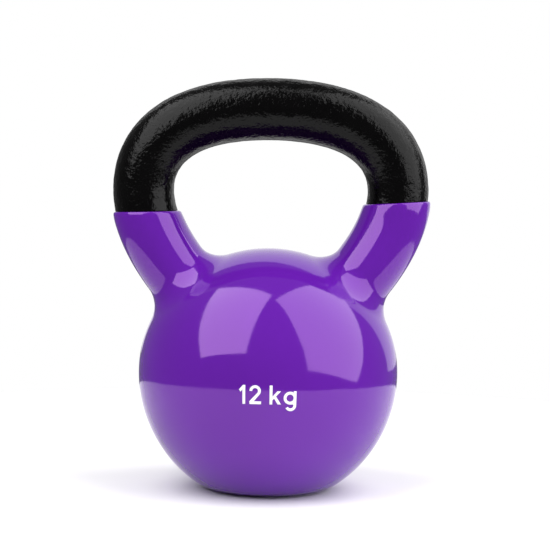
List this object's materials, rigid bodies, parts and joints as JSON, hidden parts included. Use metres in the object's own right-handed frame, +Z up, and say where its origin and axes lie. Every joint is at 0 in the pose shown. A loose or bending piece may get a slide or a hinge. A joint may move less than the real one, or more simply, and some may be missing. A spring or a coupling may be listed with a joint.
{
  "type": "kettlebell",
  "caption": "Kettlebell: cast-iron ball on a flat base with a looped handle, glossy vinyl dip coat up to level collars, bare grip in black textured enamel.",
  "frame": {"origin": "middle of the flat base, on the floor", "axes": "+Z up, the handle spans along X, and -Y faces the side with the weight mark"},
  "size_m": [0.1773, 0.1452, 0.2295],
  "materials": {
    "bare_iron": "rough sand-cast iron under the coats",
    "purple_vinyl": "smooth glossy dip coat with rounded lips",
    "black_enamel": "glossy black enamel over a coarse cast surface",
    "white_ink": "thin printed ink"
  },
  "bodies": {
    "root": {"iron_casting": "bare_iron", "vinyl_jacket": "purple_vinyl", "handle_enamel": "black_enamel", "mark_one": "white_ink", "mark_two": "white_ink", "mark_k": "white_ink", "mark_g": "white_ink"}
  },
  "joints": []
}
